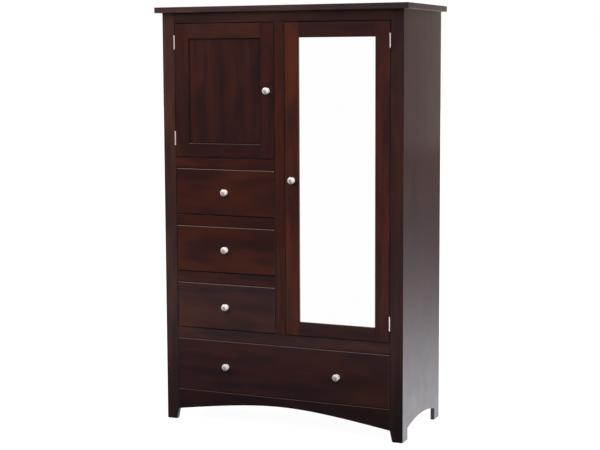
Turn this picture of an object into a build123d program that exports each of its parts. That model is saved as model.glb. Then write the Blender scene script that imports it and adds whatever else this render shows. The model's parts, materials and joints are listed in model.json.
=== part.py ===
from build123d import *
import os

# Face-framed wooden armoire. +X is to the right, +Y to the rear, +Z up, in millimetres.
# The origin is on the floor, under the middle of the top board's outline.

# ---------------------------------------------------------------- driving dimensions
height = 1930.0
case_width = 1179.0
case_depth = 510.0

top_thickness = 26.0
top_side_overhang = 27.5
top_front_overhang = 26.0

frame_thickness = 20.0
side_thickness = 19.0
board_thickness = 19.0
back_thickness = 6.0

stile_width = 60.5
centre_stile_width = 48.0
top_rail_height = 47.0
rail_height = 50.0
apron_top = 148.0
bottom_opening_height = 246.0
drawer_opening_height = 216.0
hole_end_gap = 1.0
near = 0.01
front_gap = 3.0
top_ease = 2.0
frame_ease = 0.4
front_ease = 2.0

foot_taper = 11.5
foot_top = 51.7
apron_crown = 107.0
apron_end_run = 210.0
apron_end_rise = 32.3
apron_crown_run = 150.0
side_foot_width = 64.0
side_arch_spring = 56.0
side_arch_crown = 81.0
foot_chamfer = 3.0

door_thickness = 20.0
door_stile_width = 68.0
door_top_rail_height = 68.0
door_bottom_rail_height = 62.5
panel_thickness = 6.0
panel_recess = 7.0
panel_clearance = 1.0
groove_depth = 8.0
groove_clearance = 0.2

mirror_lip = 5.0
mirror_rabbet = 8.0
mirror_thickness = 4.0
mirror_backing_thickness = 3.0
mirror_clearance = 1.0
retainer_gap = 0.5

# A knob's turned profile: radius and distance from the face, negative towards the front.
knob_projection = 24.5
knob_crown_radius = 14.5
knob_crown_height = 5.7
knob_foot_radius = 14.0
knob_foot_rim = 1.5
knob_foot_shoulder = (8.6, -4.8)
knob_waist = (7.0, -8.2)
knob_head_root = (9.6, -12.0)
knob_lip_rear = (14.5, -13.2)
knob_lip = (16.0, -16.0)
knob_stud_radius = 2.0
knob_stud_length = 14.0

hinge_from_door_end = 84.5
hinge_barrel_radius = 3.5
hinge_barrel_length = 62.0
hinge_axis_proud = 5.0
hinge_leaf_thickness = 1.0
hinge_leaf_proud = 0.5
hinge_leaf_depth = 16.0
hinge_knuckles = 5
hinge_knuckle_gap = 0.2
hinge_pin_radius = 1.75
running_clearance = 0.05
hinge_tip_height = 1.5
hinge_tip_curve = 2.3

box_side_thickness = 12.0
box_length = 447.0
box_side_clearance = 6.0
box_bottom_clearance = 0.5
box_top_clearance = 26.0
box_bottom_thickness = 6.0
box_bottom_height = 12.0
box_groove_depth = 6.0
box_back_inset = 10.0
runner_height = 20.0
guide_clearance = 1.5
runner_ledge = 20.0
runner_front_gap = 2.0

shelf_height = 1560.0
shelf_depth = 450.0
shelf_setback = 10.0
shelf_clearance = 1.5
shelf_pin_radius = 2.5
shelf_pin_length = 16.0
shelf_pin_inset = 40.0

rod_radius = 12.5
rod_height = 1800.0
socket_radius = 25.0
socket_depth = 12.0
socket_floor = 3.0

catch_width = 46.0
catch_depth = 14.8
catch_drop = 17.0
catch_rise = 23.0
strike_width = 32.0
strike_height = 12.0
strike_thickness = 1.0
strike_drop = 1.0
strike_gap = 0.2

# ---------------------------------------------------------------- derived places
half_width = case_width / 2
face_y = top_front_overhang - (case_depth + top_front_overhang) / 2
back_y = face_y + case_depth
inside_y = face_y + frame_thickness
back_panel_y = back_y - back_thickness
top_underside = height - top_thickness
side_inside = half_width - side_thickness
opening_edge = half_width - stile_width
half_centre_stile = centre_stile_width / 2
half_partition = board_thickness / 2

deck_bottom = apron_top + bottom_opening_height
deck_top = deck_bottom + rail_height
drawer_pitch = drawer_opening_height + rail_height
drawer_floors = {
    "lower": deck_top,
    "middle": deck_top + drawer_pitch,
    "upper": deck_top + 2 * drawer_pitch,
}
cupboard_bottom = deck_top + 3 * drawer_pitch
door_opening_top = top_underside - top_rail_height

left_span = (-opening_edge, -half_centre_stile)
right_span = (half_centre_stile, opening_edge)
full_span = (-opening_edge, opening_edge)
frame_y = (face_y, inside_y)
inner_y = (inside_y, back_panel_y)
door_back_y = face_y + door_thickness

os.makedirs("parts", exist_ok=True)


# ---------------------------------------------------------------- helpers
def write_piece(piece, name):
    """Labels a finished piece and writes it as its own STEP file."""
    piece.part.label = name
    export_step(piece.part, f"parts/{name}.step")


def inset(span, amount):
    """A span shortened by the same amount at both ends."""
    return (span[0] + amount, span[1] - amount)


def block(x_span, y_span, z_span, mode=Mode.ADD):
    """A plain box between three spans, added to the part being built."""
    with BuildSketch(Plane.XY.offset(z_span[0])) as outline:
        with Locations(((x_span[0] + x_span[1]) / 2, (y_span[0] + y_span[1]) / 2)):
            Rectangle(x_span[1] - x_span[0], y_span[1] - y_span[0])
    extrude(outline.sketch, amount=z_span[1] - z_span[0], mode=mode)


def round_bar(x, y, z, radius, length, mode=Mode.ADD):
    """An upright cylinder that starts at a height, added to the part being built."""
    with BuildSketch(Plane.XY.offset(z)) as outline:
        with Locations((x, y)):
            Circle(radius)
    extrude(outline.sketch, amount=length, mode=mode)


def ease_front(piece, radius, along=None):
    """Rounds the edges of the front face, or only those parallel to one axis."""
    edges = piece.faces().sort_by(Axis.Y)[0].edges()
    if along is not None:
        edges = edges.filter_by(along)
    fillet(edges, radius)


def board(name, x_span, y_span, z_span):
    """A square-edged board."""
    with BuildPart() as piece:
        block(x_span, y_span, z_span)
    write_piece(piece, name)


def frame_rail(name, x_span, z_span):
    """A horizontal member of the face frame, with its long front edges eased."""
    with BuildPart() as rail:
        block(x_span, frame_y, z_span)
        ease_front(rail, frame_ease, Axis.X)
    write_piece(rail, name)


def drill(points, radius, depth, axis_dir):
    """Blind holes that run into the part along axis_dir from each point."""
    for point in points:
        with BuildSketch(Plane(point, z_dir=axis_dir)) as mouth:
            Circle(radius)
        extrude(mouth.sketch, amount=depth, mode=Mode.SUBTRACT)


# ---------------------------------------------------------------- top
with BuildPart() as top_board:
    top_half_width = half_width + top_side_overhang
    block((-top_half_width, top_half_width), (face_y - top_front_overhang, back_y), (top_underside, height))
    front_and_sides = top_board.faces().sort_by(Axis.Y)[0].edges().filter_by(Axis.X)
    front_and_sides += top_board.faces().sort_by(Axis.X)[0].edges().filter_by(Axis.Y)
    front_and_sides += top_board.faces().sort_by(Axis.X)[-1].edges().filter_by(Axis.Y)
    fillet(front_and_sides, top_ease)
write_piece(top_board, "top_board")

# ---------------------------------------------------------------- sides
shelf_y = (inside_y + shelf_setback, inside_y + shelf_setback + shelf_depth)
shelf_pin_rows = inset(shelf_y, shelf_pin_inset)
shelf_pin_depth = shelf_pin_length / 2
shelf_pin_bore = (shelf_pin_radius + running_clearance, shelf_pin_depth + hole_end_gap)
shelf_pin_z = shelf_height - shelf_pin_radius


def side_panel(name, inner_x, outer_dir):
    """An upright side with an arch between its front and rear feet."""
    with BuildPart() as panel:
        foot_front = face_y + side_foot_width
        foot_rear = back_y - side_foot_width
        outer_x = inner_x + outer_dir * side_thickness
        with BuildSketch(Plane(origin=(min(inner_x, outer_x), 0, 0), x_dir=(0, 1, 0), z_dir=(1, 0, 0))):
            with BuildLine():
                Polyline(
                    (foot_front, side_arch_spring),
                    (foot_front, 0),
                    (inside_y, 0),
                    (inside_y, top_underside),
                    (back_y, top_underside),
                    (back_y, 0),
                    (foot_rear, 0),
                    (foot_rear, side_arch_spring),
                )
                ThreePointArc(
                    (foot_rear, side_arch_spring),
                    ((foot_front + foot_rear) / 2, side_arch_crown),
                    (foot_front, side_arch_spring),
                )
            make_face()
        extrude(amount=side_thickness)
        feet = panel.edges().filter_by(lambda e: abs(e.center().Z) < near)
        chamfer(feet.filter_by(lambda e: abs(e.center().Y - inside_y) > near), foot_chamfer)
        if outer_dir < 0:
            pin_holes = [(inner_x, y, shelf_pin_z) for y in shelf_pin_rows]
            drill(pin_holes, *shelf_pin_bore, (outer_dir, 0, 0))
    write_piece(panel, name)


side_panel("left_side_panel", -side_inside, -1)
side_panel("right_side_panel", side_inside, 1)


# ---------------------------------------------------------------- face frame
def outer_stile(name, side):
    """An outer upright whose foot tapers on its inner edge below the apron."""
    with BuildPart() as stile:
        outer_x = side * half_width
        edge_x = side * opening_edge
        toe_x = side * (opening_edge + foot_taper)
        with BuildSketch(Plane(origin=(0, inside_y, 0), x_dir=(1, 0, 0), z_dir=(0, -1, 0))):
            with BuildLine():
                Polyline(
                    (outer_x, 0),
                    (outer_x, top_underside),
                    (edge_x, top_underside),
                    (edge_x, foot_top),
                    (toe_x, 0),
                    close=True,
                )
            make_face()
        extrude(amount=frame_thickness)
        bottom_edges = stile.edges().filter_by(lambda e: abs(e.center().Z) < near)
        chamfer(bottom_edges.filter_by(lambda e: abs(e.center().Y - inside_y) > near), foot_chamfer)
        long_edges = stile.faces().sort_by(Axis.Y)[0].edges().filter_by(Axis.Z)
        fillet(long_edges, frame_ease)
    write_piece(stile, name)


outer_stile("left_stile", -1)
outer_stile("right_stile", 1)

with BuildPart() as centre_stile:
    block((-half_centre_stile, half_centre_stile), frame_y, (deck_top, door_opening_top))
    ease_front(centre_stile, frame_ease, Axis.Z)
write_piece(centre_stile, "centre_stile")

frame_rail("top_rail", full_span, (door_opening_top, top_underside))
frame_rail("cupboard_rail", left_span, (cupboard_bottom - rail_height, cupboard_bottom))
frame_rail("upper_drawer_rail", left_span, (drawer_floors["upper"] - rail_height, drawer_floors["upper"]))
frame_rail("lower_drawer_rail", left_span, (drawer_floors["middle"] - rail_height, drawer_floors["middle"]))
frame_rail("deck_rail", full_span, (deck_bottom, deck_top))

with BuildPart() as apron:
    with BuildSketch(Plane(origin=(0, inside_y, 0), x_dir=(1, 0, 0), z_dir=(0, -1, 0))):
        with BuildLine():
            for side in (-1, 1):
                Bezier(
                    (side * opening_edge, foot_top),
                    (side * (opening_edge - apron_end_run), foot_top + apron_end_rise),
                    (side * apron_crown_run, apron_crown),
                    (0, apron_crown),
                )
            Polyline(
                (-opening_edge, foot_top),
                (-opening_edge, apron_top),
                (opening_edge, apron_top),
                (opening_edge, foot_top),
            )
        make_face()
    extrude(amount=frame_thickness)
    top_front_edge = apron.faces().sort_by(Axis.Y)[0].edges().sort_by(Axis.Z)[-1]
    fillet(top_front_edge, frame_ease)
write_piece(apron, "apron")

# ---------------------------------------------------------------- boards inside the case
inside_span = (-side_inside, side_inside)
left_bay = (-side_inside, -half_partition)

board("back_panel", inside_span, (back_panel_y, back_y), (apron_top - board_thickness, top_underside))
board("bottom_board", inside_span, inner_y, (apron_top - board_thickness, apron_top))
board("deck_board", inside_span, inner_y, (deck_top - board_thickness, deck_top))
board("cupboard_floor", left_bay, inner_y, (cupboard_bottom - board_thickness, cupboard_bottom))

with BuildPart() as centre_partition:
    block((-half_partition, half_partition), inner_y, (deck_top, top_underside))
    partition_holes = [(-half_partition, y, shelf_pin_z) for y in shelf_pin_rows]
    drill(partition_holes, *shelf_pin_bore, (1, 0, 0))
write_piece(centre_partition, "centre_partition")

with BuildPart() as cupboard_shelf:
    block(inset(left_bay, shelf_clearance), shelf_y, (shelf_height, shelf_height + board_thickness))
    ease_front(cupboard_shelf, frame_ease, Axis.X)
write_piece(cupboard_shelf, "cupboard_shelf")

with BuildPart() as shelf_pins:
    for wall_x, inward in ((left_bay[0], 1), (left_bay[1], -1)):
        for pin_y in shelf_pin_rows:
            buried_end = (wall_x - inward * shelf_pin_depth, pin_y, shelf_pin_z)
            with BuildSketch(Plane(buried_end, z_dir=(inward, 0, 0))):
                Circle(shelf_pin_radius)
            extrude(amount=shelf_pin_length)
write_piece(shelf_pins, "shelf_pins")

# ---------------------------------------------------------------- hanging rod
rod_y = (inside_y + back_panel_y) / 2
rod_ends = (half_partition, side_inside)

with BuildPart() as hanging_rod:
    rod_start = rod_ends[0] + socket_floor
    with BuildSketch(Plane((rod_start, rod_y, rod_height), z_dir=(1, 0, 0))):
        Circle(rod_radius)
    extrude(amount=rod_ends[1] - socket_floor - rod_start)
write_piece(hanging_rod, "hanging_rod")

with BuildPart() as rod_sockets:
    for wall_x, inward in ((rod_ends[0], 1), (rod_ends[1], -1)):
        with BuildSketch(Plane((wall_x, rod_y, rod_height), z_dir=(inward, 0, 0))):
            Circle(socket_radius)
        extrude(amount=socket_depth)
        with BuildSketch(Plane((wall_x + inward * socket_floor, rod_y, rod_height), z_dir=(inward, 0, 0))):
            Circle(rod_radius + running_clearance)
        extrude(amount=socket_depth, mode=Mode.SUBTRACT)
write_piece(rod_sockets, "rod_sockets")

# ---------------------------------------------------------------- drawer runners and guides
runner_y = (inside_y + runner_front_gap, back_panel_y)
small_box = inset(left_span, box_side_clearance)
wide_box = inset(full_span, box_side_clearance)

with BuildPart() as drawer_runners:
    for floor in (drawer_floors["middle"], drawer_floors["upper"]):
        for wall_x, box_x, inward in ((left_bay[0], small_box[0], 1), (left_bay[1], small_box[1], -1)):
            ledge_x = box_x + inward * runner_ledge
            guide_x = box_x - inward * guide_clearance
            block(sorted((wall_x, ledge_x)), runner_y, (floor - runner_height, floor))
            block(sorted((wall_x, guide_x)), runner_y, (floor, floor + runner_height))
write_piece(drawer_runners, "drawer_runners")

with BuildPart() as drawer_guides:
    guide_runs = (
        (deck_top, left_bay, small_box),
        (apron_top, inside_span, wide_box),
    )
    for floor, bay, box in guide_runs:
        guide_z = (floor, floor + runner_height)
        block((bay[0], box[0] - guide_clearance), runner_y, guide_z)
        block((box[1] + guide_clearance, bay[1]), runner_y, guide_z)
write_piece(drawer_guides, "drawer_guides")


# ---------------------------------------------------------------- drawers
def knob_stud_holes(points):
    """Blind holes in a front for the studs of its knobs."""
    drill(points, knob_stud_radius + running_clearance, knob_stud_length + hole_end_gap, (0, 1, 0))


def knobs(name, points):
    """Turned knobs with a domed head, a waisted neck, a wide sloped foot and a screw stud."""
    crown_y = knob_crown_height - knob_projection
    sphere_radius = (knob_crown_radius**2 + knob_crown_height**2) / (2 * knob_crown_height)
    with BuildPart() as knob:
        for x, z in points:
            with BuildSketch(Plane(origin=(x, face_y, z), x_dir=(1, 0, 0), z_dir=(0, 0, 1))):
                with BuildLine():
                    foot = Line((0, knob_stud_length), (knob_stud_radius, knob_stud_length))
                    stud = Line(foot @ 1, (knob_stud_radius, 0))
                    base = Line(stud @ 1, (knob_foot_radius, 0))
                    rim = Line(base @ 1, (knob_foot_radius, -knob_foot_rim))
                    cone = Line(rim @ 1, knob_foot_shoulder)
                    neck = ThreePointArc(cone @ 1, knob_waist, knob_head_root)
                    under = Line(neck @ 1, knob_lip_rear)
                    lip = ThreePointArc(under @ 1, knob_lip, (knob_crown_radius, crown_y))
                    crown = RadiusArc(lip @ 1, (0, -knob_projection), sphere_radius)
                    Line(crown @ 1, (0, knob_stud_length))
                make_face()
            revolve(axis=Axis((x, face_y, z), (0, 1, 0)))
    write_piece(knob, name)


def drawer(prefix, opening_x, floor, opening_height, knob_xs):
    """A drawer: its inset front, its box, the bottom in its grooves and the knobs."""
    front_x = inset(opening_x, front_gap)
    front_z = (floor + front_gap, floor + opening_height - front_gap)
    knob_z = (front_z[0] + front_z[1]) / 2
    box_x = inset(opening_x, box_side_clearance)
    box_z = (floor + box_bottom_clearance, floor + opening_height - box_top_clearance)
    box_y = (door_back_y, door_back_y + box_length)
    inner_x = inset(box_x, box_side_thickness)
    panel_z = (floor + box_bottom_height, floor + box_bottom_height + box_bottom_thickness)
    groove_z = (panel_z[0] - groove_clearance / 2, panel_z[1] + groove_clearance / 2)
    groove_x = inset(inner_x, -box_groove_depth)

    with BuildPart() as front:
        block(front_x, (face_y, door_back_y), front_z)
        ease_front(front, front_ease)
        block(groove_x, (door_back_y - box_groove_depth, door_back_y), groove_z, Mode.SUBTRACT)
        knob_stud_holes([(x, face_y, knob_z) for x in knob_xs])
    write_piece(front, f"{prefix}_front")

    with BuildPart() as box:
        block((box_x[0], inner_x[0]), box_y, box_z)
        block((inner_x[1], box_x[1]), box_y, box_z)
        block(groove_x, box_y, groove_z, Mode.SUBTRACT)
        back_board_rear = box_y[1] - box_back_inset
        back_board_y = (back_board_rear - box_side_thickness, back_board_rear)
        block(inner_x, back_board_y, (groove_z[1], box_z[1]))
    write_piece(box, f"{prefix}_box")

    with BuildPart() as bottom:
        bottom_y = (door_back_y - box_groove_depth + groove_clearance, box_y[1])
        block(inset(groove_x, groove_clearance), bottom_y, panel_z)
    write_piece(bottom, f"{prefix}_bottom")

    knobs(f"{prefix}_knob" if len(knob_xs) == 1 else f"{prefix}_knobs", [(x, knob_z) for x in knob_xs])


small_drawer_centre = (left_span[0] + left_span[1]) / 2
for level, floor in drawer_floors.items():
    drawer(f"{level}_drawer", left_span, floor, drawer_opening_height, [small_drawer_centre])
wide_knob_xs = [small_drawer_centre, -small_drawer_centre]
drawer("bottom_drawer", full_span, apron_top, bottom_opening_height, wide_knob_xs)


# ---------------------------------------------------------------- door frames
panel_y = (face_y + panel_recess, face_y + panel_recess + panel_thickness)
groove_y = inset(panel_y, -groove_clearance / 2)


def door_faces(opening_x, opening_z, hinge_side):
    """The door's outline and its members' spans, with the hinge stile on the given side."""
    door_x = inset(opening_x, front_gap)
    door_z = inset(opening_z, front_gap)
    clear_x = inset(door_x, door_stile_width)
    clear_z = (door_z[0] + door_bottom_rail_height, door_z[1] - door_top_rail_height)
    left = (door_x[0], clear_x[0])
    right = (clear_x[1], door_x[1])
    hinge_x, lock_x = (left, right) if hinge_side < 0 else (right, left)
    return door_x, door_z, clear_x, clear_z, hinge_x, lock_x


left_door = door_faces(left_span, (cupboard_bottom, door_opening_top), -1)
mirror_door = door_faces(right_span, (deck_top, door_opening_top), 1)


def panelled_member(name, x_span, z_span, ease_axis, groove, tongues, knob_points):
    """A door member with a panel groove, optional end tongues and knob holes."""
    with BuildPart() as member:
        block(x_span, (face_y, door_back_y), z_span)
        ease_front(member, frame_ease, ease_axis)
        block(groove[0], groove_y, groove[1], Mode.SUBTRACT)
        for tongue in tongues:
            block(tongue, inset(groove_y, groove_clearance / 2), groove[2])
        knob_stud_holes(knob_points)
    write_piece(member, name)


door_x, door_z, clear_x, clear_z, hinge_x, lock_x = left_door
grooved_x = inset(clear_x, -groove_depth)
grooved_z = inset(clear_z, -groove_depth)
tongues_x = ((grooved_x[0] + groove_clearance, clear_x[0]), (clear_x[1], grooved_x[1] - groove_clearance))
top_rail_z = (clear_z[1], door_z[1])
bottom_rail_z = (door_z[0], clear_z[0])
left_knob = (sum(lock_x) / 2, face_y, sum(door_z) / 2)

panelled_member("left_door_hinge_stile", hinge_x, door_z, Axis.Z, (grooved_x, door_z), (), [])
panelled_member("left_door_lock_stile", lock_x, door_z, Axis.Z, (grooved_x, door_z), (), [left_knob])
top_groove = (clear_x, (clear_z[1], grooved_z[1]), (grooved_z[1], door_z[1]))
bottom_groove = (clear_x, (grooved_z[0], clear_z[0]), (door_z[0], grooved_z[0]))
panelled_member("left_door_top_rail", clear_x, top_rail_z, Axis.X, top_groove, tongues_x, [])
panelled_member("left_door_bottom_rail", clear_x, bottom_rail_z, Axis.X, bottom_groove, tongues_x, [])
board("left_door_panel", inset(grooved_x, panel_clearance), panel_y, inset(grooved_z, panel_clearance))
knobs("left_door_knob", [(left_knob[0], left_knob[2])])


# ---------------------------------------------------------------- mirror door
def rabbeted_member(name, x_span, z_span, ease_axis, rabbet, laps, knob_points):
    """A door member with a rear rabbet for the glass and half laps at its ends."""
    with BuildPart() as member:
        block(x_span, (face_y, door_back_y), z_span)
        ease_front(member, frame_ease, ease_axis)
        block(rabbet[0], rabbet_y, rabbet[1], Mode.SUBTRACT)
        for lap in laps:
            block(lap, rabbet_y, rabbet[2])
        knob_stud_holes(knob_points)
    write_piece(member, name)


door_x, door_z, clear_x, clear_z, hinge_x, lock_x = mirror_door
rabbet_y = (face_y + mirror_lip, door_back_y)
rabbet_x = inset(clear_x, -mirror_rabbet)
rabbet_z = inset(clear_z, -mirror_rabbet)
laps_x = ((rabbet_x[0], clear_x[0]), (clear_x[1], rabbet_x[1]))
top_rail_z = (clear_z[1], door_z[1])
bottom_rail_z = (door_z[0], clear_z[0])
mirror_knob = (sum(lock_x) / 2, face_y, sum(door_z) / 2)

rabbeted_member("mirror_door_hinge_stile", hinge_x, door_z, Axis.Z, (rabbet_x, door_z), (), [])
rabbeted_member("mirror_door_lock_stile", lock_x, door_z, Axis.Z, (rabbet_x, door_z), (), [mirror_knob])
top_rabbet = (clear_x, (clear_z[1], rabbet_z[1]), (rabbet_z[1], door_z[1]))
bottom_rabbet = (clear_x, (rabbet_z[0], clear_z[0]), (door_z[0], rabbet_z[0]))
rabbeted_member("mirror_door_top_rail", clear_x, top_rail_z, Axis.X, top_rabbet, laps_x, [])
rabbeted_member("mirror_door_bottom_rail", clear_x, bottom_rail_z, Axis.X, bottom_rabbet, laps_x, [])
knobs("mirror_door_knob", [(mirror_knob[0], mirror_knob[2])])

glass_y = (rabbet_y[0], rabbet_y[0] + mirror_thickness)
backing_y = (glass_y[1], glass_y[1] + mirror_backing_thickness)
retainer_y = (backing_y[1], door_back_y)
glass_x = inset(rabbet_x, mirror_clearance)
glass_z = inset(rabbet_z, mirror_clearance)
board("mirror_glass", glass_x, glass_y, glass_z)
board("mirror_backing", glass_x, backing_y, glass_z)

with BuildPart() as mirror_retainers:
    for strip_z in ((rabbet_z[0], clear_z[0]), (clear_z[1], rabbet_z[1])):
        block(inset(clear_x, retainer_gap), retainer_y, strip_z)
    for strip_x in laps_x:
        block(strip_x, retainer_y, rabbet_z)
write_piece(mirror_retainers, "mirror_retainers")

# ---------------------------------------------------------------- hinges
hinge_y = face_y - hinge_axis_proud
knuckle_length = (hinge_barrel_length - (hinge_knuckles - 1) * hinge_knuckle_gap) / hinge_knuckles
knuckle_pitch = knuckle_length + hinge_knuckle_gap
hinge_places = {
    "left_door": (left_span[0] + front_gap / 2, 1, left_door[1]),
    "mirror_door": (right_span[1] - front_gap / 2, -1, mirror_door[1]),
}


def hinge_centres(door_z):
    """The heights of a door's two hinges."""
    return inset(door_z, hinge_from_door_end)


def hinge_leaf(axis_x, leaf_x, centre_z, knuckle_numbers):
    """One leaf with its own knuckles, added to the part being built."""
    bottom_z = centre_z - hinge_barrel_length / 2
    leaf_front = face_y - hinge_leaf_proud
    leaf_y = (leaf_front, face_y + hinge_leaf_depth)
    block(leaf_x, leaf_y, (bottom_z, bottom_z + hinge_barrel_length))
    for number in knuckle_numbers:
        knuckle_z = bottom_z + number * knuckle_pitch
        block(leaf_x, (hinge_y, leaf_front), (knuckle_z, knuckle_z + knuckle_length))
        round_bar(axis_x, hinge_y, knuckle_z, hinge_barrel_radius, knuckle_length)
    bore_radius = hinge_pin_radius + running_clearance
    round_bar(axis_x, hinge_y, bottom_z, bore_radius, hinge_barrel_length, Mode.SUBTRACT)


with BuildPart() as hinge_case_leaves:
    for axis_x, inward, door_z in hinge_places.values():
        edge_x = axis_x - inward * front_gap / 2
        leaf_x = sorted((edge_x, edge_x + inward * hinge_leaf_thickness))
        for centre_z in hinge_centres(door_z):
            hinge_leaf(axis_x, leaf_x, centre_z, range(0, hinge_knuckles, 2))
write_piece(hinge_case_leaves, "hinge_case_leaves")

for door_name, (axis_x, inward, door_z) in hinge_places.items():
    with BuildPart() as door_leaves:
        edge_x = axis_x + inward * front_gap / 2
        leaf_x = sorted((edge_x, edge_x - inward * hinge_leaf_thickness))
        for centre_z in hinge_centres(door_z):
            hinge_leaf(axis_x, leaf_x, centre_z, range(1, hinge_knuckles, 2))
    write_piece(door_leaves, f"{door_name}_hinge_leaves")

with BuildPart() as hinge_pins:
    for axis_x, inward, door_z in hinge_places.values():
        for centre_z in hinge_centres(door_z):
            barrel_z = (centre_z - hinge_barrel_length / 2, centre_z + hinge_barrel_length / 2)
            low_end, high_end = inset(barrel_z, -hinge_tip_height)
            with BuildSketch(Plane(origin=(axis_x, hinge_y, 0), x_dir=(1, 0, 0), z_dir=(0, -1, 0))):
                with BuildLine():
                    shaft = Line((hinge_pin_radius, barrel_z[0]), (hinge_pin_radius, barrel_z[1]))
                    top_tip = Line(shaft @ 1, (hinge_barrel_radius, barrel_z[1]))
                    top_cap = RadiusArc(top_tip @ 1, (hinge_pin_radius, high_end), -hinge_tip_curve)
                    top_face = Line(top_cap @ 1, (0, high_end))
                    core = Line(top_face @ 1, (0, low_end))
                    low_face = Line(core @ 1, (hinge_pin_radius, low_end))
                    low_cap = RadiusArc(low_face @ 1, (hinge_barrel_radius, barrel_z[0]), -hinge_tip_curve)
                    Line(low_cap @ 1, shaft @ 0)
                make_face()
            revolve(axis=Axis((axis_x, hinge_y, 0), (0, 0, 1)))
write_piece(hinge_pins, "hinge_pins")

# ---------------------------------------------------------------- catches
with BuildPart() as door_catches:
    for lock_x in (left_door[5], mirror_door[5]):
        catch_x = (sum(lock_x) / 2 - catch_width / 2, sum(lock_x) / 2 + catch_width / 2)
        stepped_y = inside_y + strike_thickness + strike_gap
        catch_z = (door_opening_top - catch_drop, door_opening_top + catch_rise)
        block(catch_x, (stepped_y, inside_y + catch_depth), catch_z)
        block(catch_x, (inside_y, stepped_y), (door_opening_top, catch_z[1]))
write_piece(door_catches, "door_catches")

for name, door in (("left_door_strike", left_door), ("mirror_door_strike", mirror_door)):
    strike_x = (sum(door[5]) / 2 - strike_width / 2, sum(door[5]) / 2 + strike_width / 2)
    strike_top = door[1][1] - strike_drop
    strike_z = (strike_top - strike_height, strike_top)
    board(name, strike_x, (door_back_y, door_back_y + strike_thickness), strike_z)
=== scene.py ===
import json
import math

import bmesh
import bpy
from mathutils import Matrix, Vector


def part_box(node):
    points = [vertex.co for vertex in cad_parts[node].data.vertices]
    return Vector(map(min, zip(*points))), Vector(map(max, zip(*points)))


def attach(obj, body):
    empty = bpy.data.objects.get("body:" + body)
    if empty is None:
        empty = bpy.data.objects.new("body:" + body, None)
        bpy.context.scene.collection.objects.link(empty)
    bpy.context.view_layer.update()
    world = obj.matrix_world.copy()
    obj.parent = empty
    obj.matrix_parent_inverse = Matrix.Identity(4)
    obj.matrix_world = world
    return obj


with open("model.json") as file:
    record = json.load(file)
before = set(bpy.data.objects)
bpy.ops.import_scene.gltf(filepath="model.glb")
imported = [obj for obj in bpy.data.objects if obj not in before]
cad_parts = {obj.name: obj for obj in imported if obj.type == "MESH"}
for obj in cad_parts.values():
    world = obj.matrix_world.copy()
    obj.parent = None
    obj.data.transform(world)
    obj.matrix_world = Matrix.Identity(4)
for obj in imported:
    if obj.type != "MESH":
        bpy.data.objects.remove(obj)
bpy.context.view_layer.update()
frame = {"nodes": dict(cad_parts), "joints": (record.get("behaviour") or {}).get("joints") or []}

scene = bpy.context.scene
scene.view_settings.view_transform = "Standard"
nodes = frame["nodes"]


# ---------------------------------------------------------------- node graphs
class Graph:
    """A node tree, with short calls for the nodes that the finishes and the studio light use."""

    def __init__(self, tree):
        self.tree = tree

    def feed(self, socket, value):
        if isinstance(value, bpy.types.NodeSocket):
            self.tree.links.new(value, socket)
        else:
            socket.default_value = value

    def add(self, kind, out=0, settings=(), **inputs):
        """Adds a node and gives one of its outputs. Inputs are named by label or, as i0, i1, by place."""
        node = self.tree.nodes.new(kind)
        for key, value in dict(settings).items():
            setattr(node, key, value)
        for key, value in inputs.items():
            place = int(key[1:]) if key[0] == "i" and key[1:].isdigit() else key.replace("_", " ")
            self.feed(node.inputs[place], value)
        return node.outputs[out]

    def math(self, operation, a, b=0.0, c=0.0, clamp=False):
        settings = {"operation": operation, "use_clamp": clamp}
        return self.add("ShaderNodeMath", 0, settings, i0=a, i1=b, i2=c)

    def vector(self, operation, a, b=(0, 0, 0)):
        return self.add("ShaderNodeVectorMath", 0, {"operation": operation}, i0=a, i1=b)

    def split(self, vector):
        """The three parts of a vector."""
        node = self.tree.nodes.new("ShaderNodeSeparateXYZ")
        self.feed(node.inputs[0], vector)
        return node.outputs

    def noise(self, vector, scale, detail=2.0, roughness=0.5):
        inputs = {"Vector": vector, "Scale": scale, "Detail": detail, "Roughness": roughness}
        return self.add("ShaderNodeTexNoise", 0, (), **inputs)

    def remap(self, value, low, high, to_low=0.0, to_high=1.0):
        """Carries a value smoothly from one range to another, clamped."""
        settings = {"interpolation_type": "SMOOTHSTEP", "clamp": True}
        return self.add("ShaderNodeMapRange", 0, settings, i0=value, i1=low, i2=high, i3=to_low, i4=to_high)

    def mix(self, factor, a, b, blend="MIX"):
        """Mixes two colours."""
        node = self.tree.nodes.new("ShaderNodeMix")
        node.data_type = "RGBA"
        node.blend_type = blend
        self.feed(node.inputs["Factor"], factor)
        self.feed(node.inputs[6], a if isinstance(a, bpy.types.NodeSocket) else (*a, 1.0))
        self.feed(node.inputs[7], b if isinstance(b, bpy.types.NodeSocket) else (*b, 1.0))
        return node.outputs[2]

    def ramp(self, value, stops):
        """A colour that runs through stops, each a value and its colour."""
        node = self.tree.nodes.new("ShaderNodeValToRGB")
        span = stops[-1][0]
        self.feed(node.inputs[0], self.math("DIVIDE", value, span, clamp=True))
        elements = node.color_ramp.elements
        for place, (at, colour) in enumerate(stops):
            element = elements[place] if place < 2 else elements.new(at / span)
            element.position = at / span
            element.color = (*colour, 1.0)
        return node.outputs[0]

    def bump(self, height, distance, strength=1.0):
        return self.add("ShaderNodeBump", 0, (), Height=height, Distance=distance, Strength=strength)


class Finish(Graph):
    """A new material's node tree and its shader."""

    def __init__(self, name):
        self.material = bpy.data.materials.new(name)
        self.material.use_nodes = True
        super().__init__(self.material.node_tree)
        self.shader = self.tree.nodes["Principled BSDF"]

    def finish(self, **values):
        """Feeds the shader's own sockets and gives the material."""
        for key, value in values.items():
            self.feed(self.shader.inputs[key.replace("_", " ")], value)
        return self.material


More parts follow.
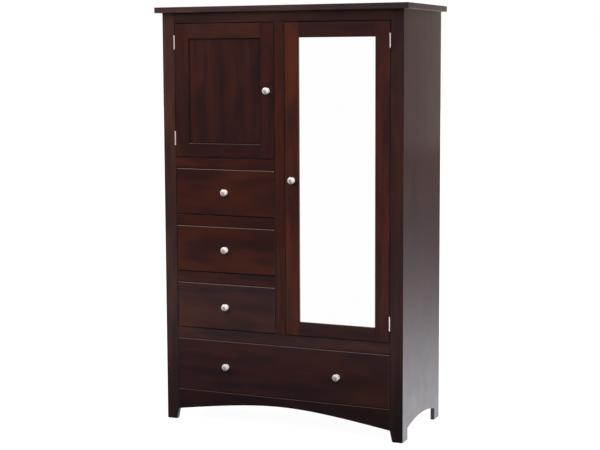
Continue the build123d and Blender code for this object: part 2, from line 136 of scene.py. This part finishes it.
def board_space(graph, grain, offset):
    """Object coordinates in metres, turned so that X runs along the grain, and shifted by an offset."""
    turn = {"X": (0, 0, 0), "Y": (0, 0, -math.pi / 2), "Z": (0, math.pi / 2, 0)}[grain]
    place = graph.add("ShaderNodeTexCoord", "Object")
    return graph.add("ShaderNodeMapping", 0, (), Vector=place, Rotation=turn, Location=offset)


def edge_distance(graph, low, high, place):
    """How far a point on a board's surface is from the nearest arris, in metres."""
    from_low = graph.vector("SUBTRACT", place, tuple(low))
    from_high = graph.vector("SUBTRACT", tuple(high), place)
    x, y, z = graph.split(graph.vector("MINIMUM", from_low, from_high))
    smaller = graph.math("MINIMUM", x, y)
    larger = graph.math("MAXIMUM", x, y)
    return graph.math("MAXIMUM", smaller, graph.math("MINIMUM", larger, z))


# ---------------------------------------------------------------- wood
def wood(
    name, grain, board, seed, dark, mid, light, pore_and_shade, wear_and_highlight, gloss,
    figure=0.35, patch=1.0, cloudy=0.8, strips=0.0, rub=0.35, top_rub=0.0,
    gap_shade=0.0, gap_shade_width=0.0040, hidden=0.0, heights=(),
):
    """A board's own wood: rings about a pith outside it, long stain patches, pores, worn arrises, and
    painted light: shade in the gaps and near the floor, a highlight on the top edge and a grey sheen.

    The colours are those of the wood (dark, mid, light), its pores and its worn edges; the pore colour is
    also the painted shade in the gaps, and the worn-edge colour also the painted highlight along the top
    edge. Figure is the strength of rings and streaks, patch the sharpness of the stain's patches, cloudy and
    strips how far the wide clouds and the long strips go, rub how worn the arrises are, and top_rub how
    strong the painted highlight along the top front edge is. Gap_shade is how dark the painted shade in the
    gaps is along arrises, over gap_shade_width from where the board shows (hidden), and heights are stops of
    a tone that runs up
    the armoire: painted shade towards the floor and a painted grey sheen at knee height.
    """
    graph = Finish(name)
    low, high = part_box(board)
    centre = (low + high) / 2
    turned = {
        "X": centre,
        "Y": Vector((centre.y, -centre.x, centre.z)),
        "Z": Vector((centre.z, centre.y, -centre.x)),
    }
    pith = Vector((seed * 1.37, 0.055 + 0.021 * math.sin(seed * 5.1), -0.07 - 0.02 * math.cos(seed * 3.7)))
    space = board_space(graph, grain, tuple(pith - turned[grain]))

    wander = graph.noise(graph.vector("MULTIPLY", space, (1.0, 2.5, 2.5)), 1.6, 2.0)
    drift = graph.math("MULTIPLY_ADD", wander, 0.05, -0.025)
    shifted = graph.vector("ADD", space, graph.add("ShaderNodeCombineXYZ", Y=drift, Z=drift))
    tilt = 0.018 * math.sin(seed * 2.3)
    leaning = graph.add("ShaderNodeMapping", 0, (), Vector=shifted, Rotation=(0, tilt, tilt * 0.6))
    rings = graph.add(
        "ShaderNodeTexWave", "Fac",
        {"wave_type": "RINGS", "rings_direction": "X", "wave_profile": "SAW"},
        Vector=leaning, Scale=52.0, Distortion=2.2,
        Detail=2.0, Detail_Scale=1.4, Detail_Roughness=0.55,
    )
    streaks = graph.noise(graph.vector("MULTIPLY", space, (1.0, 26.0, 26.0)), 9.0, 4.0, 0.6)
    hairs = graph.noise(graph.vector("MULTIPLY", space, (1.0, 34.0, 34.0)), 26.0, 3.0, 0.7)
    pores = graph.remap(hairs, 0.60, 0.74)
    cloud = graph.noise(graph.vector("MULTIPLY", space, (0.30, 1.0, 1.0)), 13.0, 3.0, 0.55)
    bands = graph.noise(graph.vector("MULTIPLY", space, (0.10, 1.0, 1.0)), 17.0, 2.0, 0.5)
    drifted = graph.math("MULTIPLY_ADD", bands, 0.55, graph.math("MULTIPLY", cloud, 0.45))
    patches = graph.remap(drifted, 0.5 - 0.11 / patch, 0.5 + 0.13 / patch)
    wide = graph.noise(graph.vector("MULTIPLY", space, (0.45, 1.0, 1.0)), 4.2, 2.0)
    strip = graph.noise(graph.vector("MULTIPLY", space, (0.09, 1.0, 1.0)), 44.0, 2.0, 0.5)

    body = graph.mix(patches, dark, mid)
    body = graph.mix(graph.remap(wide, 0.47, 0.66, 0.0, cloudy), body, light)
    if strips:
        body = graph.mix(graph.remap(strip, 0.44, 0.60, 0.0, strips), body, dark)
        body = graph.mix(graph.remap(strip, 0.54, 0.40, 0.0, strips * 0.5), body, light)
    figured = graph.math("MULTIPLY", graph.remap(streaks, 0.33, 0.68, 0.0, 1.0), figure)
    body = graph.mix(figured, body, graph.mix(0.5, dark, mid))
    body = graph.mix(graph.math("MULTIPLY", rings, figure), body, graph.mix(0.62, body, dark))
    body = graph.mix(graph.math("MULTIPLY", pores, 0.5), body, pore_and_shade)

    place = graph.add("ShaderNodeTexCoord", "Object")
    x, y, z = graph.split(place)
    # Painted light by height: painted shade towards the floor and a painted grey sheen at knee height.
    if heights:
        body = graph.mix(1.0, body, graph.ramp(z, heights), "MULTIPLY")
    arris = edge_distance(graph, low, high, place)
    # Painted shade along the arrises, standing for the dark gaps between parts and the shadow in the panel's
    # recess.
    if gap_shade:
        body = graph.mix(graph.remap(arris, hidden, hidden + gap_shade_width, gap_shade, 0.0), body, pore_and_shade)
    ragged = graph.noise(space, 90.0, 3.0, 0.6)
    reach = graph.math("MULTIPLY_ADD", ragged, 0.0022, 0.0004)
    rubbed = graph.math("SUBTRACT", 1.0, graph.math("DIVIDE", arris, reach), clamp=True)
    coverage = graph.math("MULTIPLY", rubbed, graph.remap(cloud, 0.40, 0.62, 0.0, rub))
    body = graph.mix(coverage, body, wear_and_highlight)
    # A painted highlight along the top front arris, where light from above catches the edge.
    if top_rub:
        under_top = graph.remap(z, high.z - 0.0028, high.z - 0.0006, 0.0, top_rub)
        near_front = graph.remap(y, low.y + 0.0022, low.y + 0.0040, 1.0, 0.0)
        body = graph.mix(graph.math("MULTIPLY", under_top, near_front), body, wear_and_highlight)

    sheen = graph.math("MULTIPLY_ADD", graph.noise(space, 14.0, 2.0), 0.10, gloss - 0.05)
    rough = graph.math("MULTIPLY_ADD", pores, 0.16, sheen)
    relief = graph.math("MULTIPLY_ADD", pores, -0.35, graph.math("MULTIPLY", rings, 0.18))
    relief = graph.math("MULTIPLY_ADD", graph.noise(space, 6.0, 1.0), 0.6, relief)
    normal = graph.bump(relief, 0.00035, 0.5)
    return graph.finish(Base_Color=body, Roughness=rough, Normal=normal, IOR=1.48)


STAIN = {
    "dark": (0.0170, 0.0062, 0.0066), "mid": (0.0390, 0.0098, 0.0070), "light": (0.0580, 0.0140, 0.0072),
    "pore_and_shade": (0.0080, 0.0034, 0.0032), "wear_and_highlight": (0.225, 0.150, 0.125), "gloss": 0.32,
}
INTERIOR = {
    "dark": (0.040, 0.0150, 0.0090), "mid": (0.070, 0.0260, 0.0150), "light": (0.092, 0.0360, 0.0200),
    "pore_and_shade": (0.016, 0.0070, 0.0050), "wear_and_highlight": (0.130, 0.0750, 0.0480), "gloss": 0.52,
}
NATURAL = {
    "dark": (0.42, 0.265, 0.140), "mid": (0.55, 0.375, 0.215), "light": (0.62, 0.450, 0.275),
    "pore_and_shade": (0.30, 0.170, 0.080), "wear_and_highlight": (0.66, 0.500, 0.330), "gloss": 0.55,
}
PLY = {
    "dark": (0.48, 0.330, 0.190), "mid": (0.58, 0.425, 0.265), "light": (0.66, 0.500, 0.330),
    "pore_and_shade": (0.36, 0.220, 0.115), "wear_and_highlight": (0.68, 0.530, 0.360), "gloss": 0.60,
}


def toned(palette, tint):
    """A palette whose wood colours are multiplied by a tint."""
    tones = dict(palette)
    for key in ("dark", "mid", "light"):
        tones[key] = tuple(value * share for value, share in zip(palette[key], tint))
    return tones


def finish_node(name, material):
    """Gives a CAD node its finish."""
    slots = nodes[name].data.materials
    slots.clear()
    slots.append(material)


# Each stained board: its grain axis, the number that picks its figure, and a tint of its stain colours, set
# board by board. The top board's and the left stile's greyer, lighter tints are painted sheen.
STAINED = {
    # Painted sheen: the top board's greyer, lighter tint.
    "top_board": ("X", 1, (1.37, 2.31, 2.64)),
    "left_side_panel": ("Z", 2, (1.00, 0.80, 0.65)),
    "right_side_panel": ("Z", 3, (1.00, 0.80, 0.65)),
    # Painted sheen: the left stile's greyer, lighter tint.
    "left_stile": ("Z", 4, (1.39, 1.70, 1.74)),
    "right_stile": ("Z", 405, (0.86, 1.12, 1.28)),
    "centre_stile": ("Z", 506, (1.15, 0.94, 0.74)),
    "top_rail": ("X", 407, (1.06, 1.28, 1.17)),
    "cupboard_rail": ("X", 308, (1.30, 0.95, 0.75)),
    "upper_drawer_rail": ("X", 609, (0.91, 0.75, 0.64)),
    "lower_drawer_rail": ("X", 10, (1.13, 0.93, 0.84)),
    "deck_rail": ("X", 111, (1.16, 1.39, 1.47)),
    "apron": ("X", 12, (0.70, 0.70, 0.81)),
    "left_door_hinge_stile": ("Z", 913, (0.99, 0.92, 0.82)),
    "left_door_lock_stile": ("Z", 914, (0.99, 0.78, 0.75)),
    "left_door_top_rail": ("X", 15, (1.26, 1.18, 0.96)),
    "left_door_bottom_rail": ("X", 16, (0.70, 0.62, 0.77)),
    "left_door_panel": ("Z", 617, (0.84, 0.80, 0.80)),
    "mirror_door_hinge_stile": ("Z", 218, (1.41, 1.21, 1.09)),
    "mirror_door_lock_stile": ("Z", 619, (1.49, 1.22, 0.87)),
    "mirror_door_top_rail": ("X", 220, (1.08, 1.05, 0.91)),
    "mirror_door_bottom_rail": ("X", 421, (1.09, 1.05, 1.10)),
    "mirror_retainers": ("Z", 22, (0.90, 0.90, 0.90)),
    "upper_drawer_front": ("X", 623, (1.05, 0.86, 0.71)),
    "middle_drawer_front": ("X", 324, (1.02, 0.84, 0.71)),
    "lower_drawer_front": ("X", 525, (1.08, 1.19, 1.24)),
    "bottom_drawer_front": ("X", 726, (1.01, 1.08, 1.14)),
}
# How strong the painted highlight is along the top front edge of these boards, in the colour of worn bare
# wood, where light from above catches it.
TOP_EDGE_HIGHLIGHT = {
    "upper_drawer_front": 0.75, "middle_drawer_front": 0.75, "lower_drawer_front": 0.70,
    "bottom_drawer_front": 0.45, "apron": 0.30, "left_door_bottom_rail": 0.35,
}
# A tone multiplied into the stain by height: painted shade, darkest near the floor, and a painted grey sheen
# at knee height, so the stain looks redder high up.
HEIGHT_SHADE_AND_SHEEN = (
    (0.00, (0.37, 0.50, 0.62)), (0.26, (0.72, 0.78, 0.82)), (0.45, (0.95, 1.25, 1.45)),
    (0.62, (1.0, 1.38, 1.60)), (0.95, (1.0, 1.0, 1.0)),
)
OUTER_BOARDS = ("top_board", "left_side_panel", "right_side_panel")
# The door panel's painted shadow along its edges, where the frame around its recess shades it.
PANEL_RECESS_SHADOW = {"gap_shade": 0.85, "hidden": 0.007, "gap_shade_width": 0.009}
for board, (grain, seed, tint) in STAINED.items():
    # All but the outer boards get painted shade along their arrises, for the dark gaps between parts.
    if board in OUTER_BOARDS:
        traits = {"strips": 0.30, "cloudy": 0.45, "gap_shade": 0.0}
    else:
        traits = {"strips": 0.45, "cloudy": 0.8, "gap_shade": 0.75}
    if board == "left_door_panel":
        traits.update(PANEL_RECESS_SHADOW)
    if board.endswith("drawer_front"):
        traits.update(strips=0.20, figure=0.24)
    traits.update(rub=0.15, top_rub=TOP_EDGE_HIGHLIGHT.get(board, 0.0), heights=HEIGHT_SHADE_AND_SHEEN)
    finish_node(board, wood(f"stain_{board}", grain, board, seed, **traits, **toned(STAIN, tint)))

INSIDE = {
    "back_panel": "Z", "bottom_board": "X", "deck_board": "X", "centre_partition": "Z",
    "cupboard_floor": "X", "cupboard_shelf": "X",
}
INSIDE_TRAITS = {"figure": 0.6, "patch": 0.8, "cloudy": 0.25, "strips": 0.4}
for seed, (board, grain) in enumerate(INSIDE.items(), 41):
    finish_node(board, wood(f"inside_{board}", grain, board, seed, **INSIDE_TRAITS, **INTERIOR))

DRAWERS = ("upper", "middle", "lower", "bottom")
BARE = {"drawer_runners": "Y", "drawer_guides": "Y"}
BARE.update({f"{level}_drawer_box": "Y" for level in DRAWERS})
for seed, (board, grain) in enumerate(BARE.items(), 61):
    finish_node(board, wood(f"bare_{board}", grain, board, seed, patch=0.7, **NATURAL))
for seed, level in enumerate(DRAWERS, 81):
    board = f"{level}_drawer_bottom"
    finish_node(board, wood(f"ply_{board}", "X", board, seed, patch=0.6, **PLY))


# ---------------------------------------------------------------- metal, glass and board
def metal(name, colour, tarnish, roughness, brushed=(1.0, 1.0, 1.0), spread=0.08, metallic=1.0):
    """A metal with fine brushing along its long way and slight tarnish."""
    graph = Finish(name)
    place = graph.add("ShaderNodeTexCoord", "Object")
    fine = graph.noise(graph.vector("MULTIPLY", place, brushed), 900.0, 2.0, 0.6)
    smear = graph.noise(place, 120.0, 2.0)
    tone = graph.mix(graph.remap(smear, 0.40, 0.72), colour, tarnish)
    rough = graph.math("MULTIPLY_ADD", fine, spread, roughness - spread / 2)
    brushing = graph.bump(fine, 0.00004, 0.35)
    return graph.finish(Base_Color=tone, Metallic=metallic, Roughness=rough, Normal=brushing)


nickel = metal("satin_nickel", (0.80, 0.71, 0.69), (0.70, 0.60, 0.58), 0.42, metallic=0.8)
dull_nickel = metal("dull_nickel", (0.62, 0.57, 0.55), (0.50, 0.45, 0.43), 0.44, metallic=0.8)
hinge_metal = metal("hinge_nickel", (0.84, 0.76, 0.71), (0.72, 0.63, 0.58), 0.30, (1.0, 1.0, 0.08))
rod_metal = metal("rod_chrome", (0.80, 0.79, 0.78), (0.68, 0.67, 0.66), 0.22, (0.05, 1.0, 1.0))
zinc = metal("zinc_plate", (0.62, 0.62, 0.60), (0.46, 0.47, 0.47), 0.36)

METAL_NODES = {
    "left_door_knob": nickel, "mirror_door_knob": nickel, "upper_drawer_knob": nickel,
    "middle_drawer_knob": nickel, "lower_drawer_knob": nickel, "bottom_drawer_knobs": dull_nickel,
    "hinge_case_leaves": hinge_metal, "hinge_pins": hinge_metal, "left_door_hinge_leaves": hinge_metal,
    "mirror_door_hinge_leaves": hinge_metal, "shelf_pins": hinge_metal, "hanging_rod": rod_metal,
    "rod_sockets": rod_metal, "left_door_strike": zinc, "mirror_door_strike": zinc,
}
for node, plating in METAL_NODES.items():
    finish_node(node, plating)

silvered = Finish("silvered_glass")
film = silvered.noise(silvered.add("ShaderNodeTexCoord", "Object"), 3.0, 2.0)
film_tone = silvered.mix(film, (0.980, 0.984, 0.982), (0.990, 0.992, 0.991))
finish_node("mirror_glass", silvered.finish(Base_Color=film_tone, Metallic=1.0, Roughness=0.0))

fibre = Finish("hardboard")
flecks = fibre.noise(fibre.add("ShaderNodeTexCoord", "Object"), 420.0, 4.0, 0.7)
fibre_tone = fibre.mix(fibre.remap(flecks, 0.35, 0.68), (0.155, 0.092, 0.050), (0.250, 0.160, 0.095))
fibre_weave = fibre.bump(flecks, 0.0003, 0.5)
finish_node("mirror_backing", fibre.finish(Base_Color=fibre_tone, Roughness=0.72, Normal=fibre_weave))

moulded = Finish("brown_plastic")
stipple = moulded.noise(moulded.add("ShaderNodeTexCoord", "Object"), 1400.0, 2.0)
moulded_tone = moulded.mix(stipple, (0.030, 0.016, 0.011), (0.042, 0.024, 0.017))
moulded_skin = moulded.bump(stipple, 0.0001, 0.4)
finish_node("door_catches", moulded.finish(Base_Color=moulded_tone, Roughness=0.45, Normal=moulded_skin))


# ---------------------------------------------------------------- screws, nails and magnet poles
def add_piece(name, shape, material, body):
    """Makes an object of a finished bmesh, with its finish, that rides on a body."""
    bmesh.ops.recalc_face_normals(shape, faces=shape.faces)
    data = bpy.data.meshes.new(name)
    shape.to_mesh(data)
    shape.free()
    data.materials.append(material)
    piece = bpy.data.objects.new(name, data)
    scene.collection.objects.link(piece)
    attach(piece, body)


HEAD_STEPS = 24
HEAD_ROOT = -0.0003
SLOT_SHARE = 0.17
SLOT_FLOOR = 0.15


def heads(name, spots, body, radius, proud, crossed=True, reach=0.0):
    """Zinc-plated screw or nail heads slightly proud of a surface, or strips if they reach out sideways.

    A spot is a point and the surface's normal. A crossed head has a cross sunk in it.
    """
    shape = bmesh.new()
    flat = tuple((share, proud) for share in (0.84, 0.58, 0.40, 0.22))
    rings = ((1.0, HEAD_ROOT), (1.0, proud * 0.3)) + flat
    for spot, normal in spots:
        turn = Vector(normal).to_track_quat("Z", "Y")
        loops = []
        for share, height in rings:
            loop = []
            for step in range(HEAD_STEPS):
                angle = 2 * math.pi * (step + 0.5) / HEAD_STEPS
                x = radius * share * math.cos(angle)
                y = radius * share * math.sin(angle)
                sunk = crossed and share < 0.6 and min(abs(x), abs(y)) < SLOT_SHARE * radius
                local = Vector((x + math.copysign(reach, x), y, height * (SLOT_FLOOR if sunk else 1.0)))
                loop.append(shape.verts.new(Vector(spot) + turn @ local))
            loops.append(loop)
        for outer, inner in zip(loops, loops[1:]):
            for step in range(HEAD_STEPS):
                after = (step + 1) % HEAD_STEPS
                shape.faces.new((outer[step], outer[after], inner[after], inner[step]))
        shape.faces.new(loops[0])
        shape.faces.new(loops[-1])
    add_piece(name, shape, zinc, body)


# Each hinge leaf has three screws: how far behind the face and above the leaf's centre they are.
leaf_clear = 0.0005
leaf_half_height = 0.031
leaf_screws = ((0.0115, -0.021), (0.0065, 0.0), (0.0115, 0.021))
strike_screw_offset = 0.0105
face_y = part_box("left_stile")[0].y
case_screws = []
for door in ("left_door", "mirror_door"):
    axis_x = next(joint["pos_m"][0] for joint in frame["joints"] if joint["name"] == f"{door}_swing")
    side = math.copysign(1.0, axis_x)
    leaf_low, leaf_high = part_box(f"{door}_hinge_leaves")
    door_screws = []
    for centre_z in (leaf_low.z + leaf_half_height, leaf_high.z - leaf_half_height):
        for depth, rise in leaf_screws:
            y, z = face_y + depth, centre_z + rise
            door_screws.append(((axis_x - side * leaf_clear, y, z), (side, 0, 0)))
            case_screws.append(((axis_x + side * leaf_clear, y, z), (-side, 0, 0)))
    heads(f"{door}_hinge_screws", door_screws, door, radius=0.0029, proud=0.00015)

    strike_low, strike_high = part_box(f"{door}_strike")
    middle = (strike_low + strike_high) / 2
    strike_xs = (middle.x - strike_screw_offset, middle.x + strike_screw_offset)
    strike_screws = [((x, strike_high.y, middle.z), (0, 1, 0)) for x in strike_xs]
    heads(f"{door}_strike_screws", strike_screws, door, radius=0.0026, proud=0.0001)
heads("case_hinge_screws", case_screws, "case", radius=0.0029, proud=0.00015)

catch_low, catch_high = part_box("door_catches")
catch_half_width = 0.023
catch_screw_offset = 0.0145
catch_screw_z = catch_high.z - 0.011
strike_gap = 0.0002
pole_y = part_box("left_door_strike")[1].y + strike_gap
pole_heights = (0.0042, 0.0098)
poles = []
catch_screws = []
for x in (catch_low.x + catch_half_width, catch_high.x - catch_half_width):
    for height in pole_heights:
        poles.append(((x, pole_y, catch_low.z + height), (0, -1, 0)))
    for screw_x in (x - catch_screw_offset, x + catch_screw_offset):
        catch_screws.append(((screw_x, catch_high.y, catch_screw_z), (0, 1, 0)))
heads("catch_poles", poles, "case", radius=0.0009, proud=0.00008, crossed=False, reach=0.0125)
heads("catch_screws", catch_screws, "case", radius=0.0030, proud=0.0006)

socket_low, socket_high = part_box("rod_sockets")
socket_centre = (socket_low + socket_high) / 2
socket_depth = 0.012
socket_screw_circle = 0.0188
socket_screws = []
for x, facing in ((socket_low.x + socket_depth, 1), (socket_high.x - socket_depth, -1)):
    for turn in (90, 210, 330):
        angle = math.radians(turn)
        y = socket_centre.y + socket_screw_circle * math.cos(angle)
        z = socket_centre.z + socket_screw_circle * math.sin(angle)
        socket_screws.append(((x, y, z), (facing, 0, 0)))
heads("rod_socket_screws", socket_screws, "case", radius=0.0031, proud=0.0007)

strip_low, strip_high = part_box("mirror_retainers")
nail_pitch = 0.165
nail_from_end = 0.03
nail_from_side = 0.004
nails = []
for lengthwise, crosswise in ((2, 0), (0, 2)):
    run = strip_high[lengthwise] - strip_low[lengthwise] - 2 * nail_from_end
    count = round(run / nail_pitch)
    for edge in (strip_low[crosswise] + nail_from_side, strip_high[crosswise] - nail_from_side):
        for step in range(count + 1):
            spot = Vector((0.0, strip_high.y, 0.0))
            spot[lengthwise] = strip_low[lengthwise] + nail_from_end + run * step / count
            spot[crosswise] = edge
            nails.append((spot, (0, 1, 0)))
heads("mirror_retainer_nails", nails, "mirror_door", radius=0.0013, proud=0.0003, crossed=False)

# ---------------------------------------------------------------- floor
half_floor = 40.0
floor_mesh = bmesh.new()
corners = [floor_mesh.verts.new((x, y, 0.0)) for x, y in ((-1, -1), (1, -1), (1, 1), (-1, 1))]
for corner in corners:
    corner.co *= half_floor
floor_mesh.faces.new(corners)
floor_data = bpy.data.meshes.new("studio_floor")
floor_mesh.to_mesh(floor_data)
floor_mesh.free()
floor = bpy.data.objects.new("studio_floor", floor_data)
scene.collection.objects.link(floor)
pale = Finish("pale_floor")
floor_data.materials.append(
    pale.finish(
        Base_Color=(0.06, 0.06, 0.06, 1.0), Roughness=0.9,
        Emission_Color=(1.0, 1.0, 1.0, 1.0), Emission_Strength=0.96,
    )
)
floor.visible_diffuse = False
floor.visible_glossy = False
floor.visible_shadow = False

# ---------------------------------------------------------------- studio light
world = bpy.data.worlds.new("studio")
scene.world = world
world.use_nodes = True
studio = Graph(world.node_tree)
background = world.node_tree.nodes["Background"]
direction = studio.add("ShaderNodeTexCoord", "Generated")
rise = studio.split(direction)[2]

AMBIENT = 0.16


def towards(aim, low, high, to_low, to_high):
    """A soft cap of light about a direction: the value runs from to_low outside it to to_high within."""
    settings = {"operation": "DOT_PRODUCT"}
    aim = tuple(Vector(aim).normalized())
    closeness = studio.add("ShaderNodeVectorMath", "Value", settings, i0=direction, i1=aim)
    return studio.remap(closeness, low, high, to_low, to_high)


overhead = studio.remap(rise, 0.25, 0.75, 0.0, 1.6)
low_band = studio.math(
    "MULTIPLY", studio.remap(rise, -0.241, -0.172, 2.56, 0.0), towards((0.78, 0.62, 0.0), 0.0, 0.6, 0.0, 1.0)
)
low_right = studio.math("MULTIPLY", low_band, studio.remap(rise, -0.48, -0.26, 0.12, 1.0))
left_wall = towards((-0.97, 0.22, 0.1), 0.35, 0.75, 0.0, 1.0)
right_wall = towards((0.80, -0.60, 0.1), 0.45, 0.80, 0.0, 0.95)
walls = studio.math("ADD", left_wall, right_wall)
level = studio.math("ADD", studio.math("ADD", studio.math("ADD", overhead, low_right), walls), AMBIENT)
open_side = towards((-0.40, -0.90, -0.12), 0.55, 0.85, 1.0, 0.25)
strength = studio.math("MULTIPLY", level, open_side)
# The camera and mirrors see a plain white studio. Every other ray sees its soft light.
ray = studio.tree.nodes.new("ShaderNodeLightPath")
seen = studio.math("MAXIMUM", ray.outputs["Is Camera Ray"], ray.outputs["Is Singular Ray"])
lit = studio.add("ShaderNodeMix", 0, {"data_type": "FLOAT"}, i0=seen, i2=strength, i3=1.0)
studio.feed(background.inputs["Strength"], lit)
unseen = studio.math("SUBTRACT", 1.0, seen)
cool = studio.math("MULTIPLY", studio.remap(rise, -0.24, -0.15, 1.0, 0.0), unseen)
studio.feed(background.inputs["Color"], studio.mix(cool, (1.0, 1.0, 1.0), (1.0, 1.01, 1.10)))


def softbox(name, place, target, width, height, power, glossy=True, colour=(1.0, 1.0, 1.0)):
    """A rectangular studio light aimed at a point, with or without highlights of its own."""
    light = bpy.data.lights.new(name, "AREA")
    light.shape = "RECTANGLE"
    light.size = width
    light.size_y = height
    light.energy = power
    light.color = colour
    lamp = bpy.data.objects.new(name, light)
    aim = Vector(target) - Vector(place)
    lamp.matrix_world = Matrix.Translation(place) @ aim.to_track_quat("-Z", "Y").to_matrix().to_4x4()
    lamp.visible_glossy = glossy
    lamp.visible_camera = False
    scene.collection.objects.link(lamp)


softbox("key_light", (-1.6, -3.0, 3.0), (0.0, -0.24, 1.3), width=1.6, height=1.6, power=75, glossy=False)
softbox("fill_light", (3.2, -1.2, 3.0), (0.6, 0.0, 1.2), width=1.4, height=1.4, power=20, glossy=False)
softbox("rear_light", (-1.5, 3.6, 3.0), (0.0, 0.27, 1.0), width=2.4, height=2.4, power=42)
warm = (1.0, 0.86, 0.72)
softbox("side_strip", (0.84, 1.3, 1.75), (0.6, 0.15, 1.6), width=0.18, height=1.1, power=0.55, colour=warm)
softbox("floor_bounce", (0.50, 0.06, 0.006), (0.575, 0.22, 0.035), width=0.25, height=0.12, power=0.12)

# ---------------------------------------------------------------- camera
photo_width_px = 600
focal_length_px = 1395.19
shift_px = -15.0
yaw, pitch, roll = 0.4135, 0.1064, 0.0041
camera_place = (2.59622, -5.93211, 1.68246)
lens = bpy.data.cameras.new("photo_view")
lens.sensor_width = 36.0
lens.lens = focal_length_px * lens.sensor_width / photo_width_px
lens.shift_y = shift_px / photo_width_px
lens.clip_end = 200.0
camera = bpy.data.objects.new("photo_view", lens)
forward = Vector((-math.sin(yaw) * math.cos(pitch), math.cos(yaw) * math.cos(pitch), -math.sin(pitch)))
upright = forward.to_track_quat("-Z", "Y").to_matrix().to_4x4()
camera.matrix_world = Matrix.Translation(camera_place) @ upright @ Matrix.Rotation(-roll, 4, "Z")
scene.collection.objects.link(camera)
scene.camera = camera
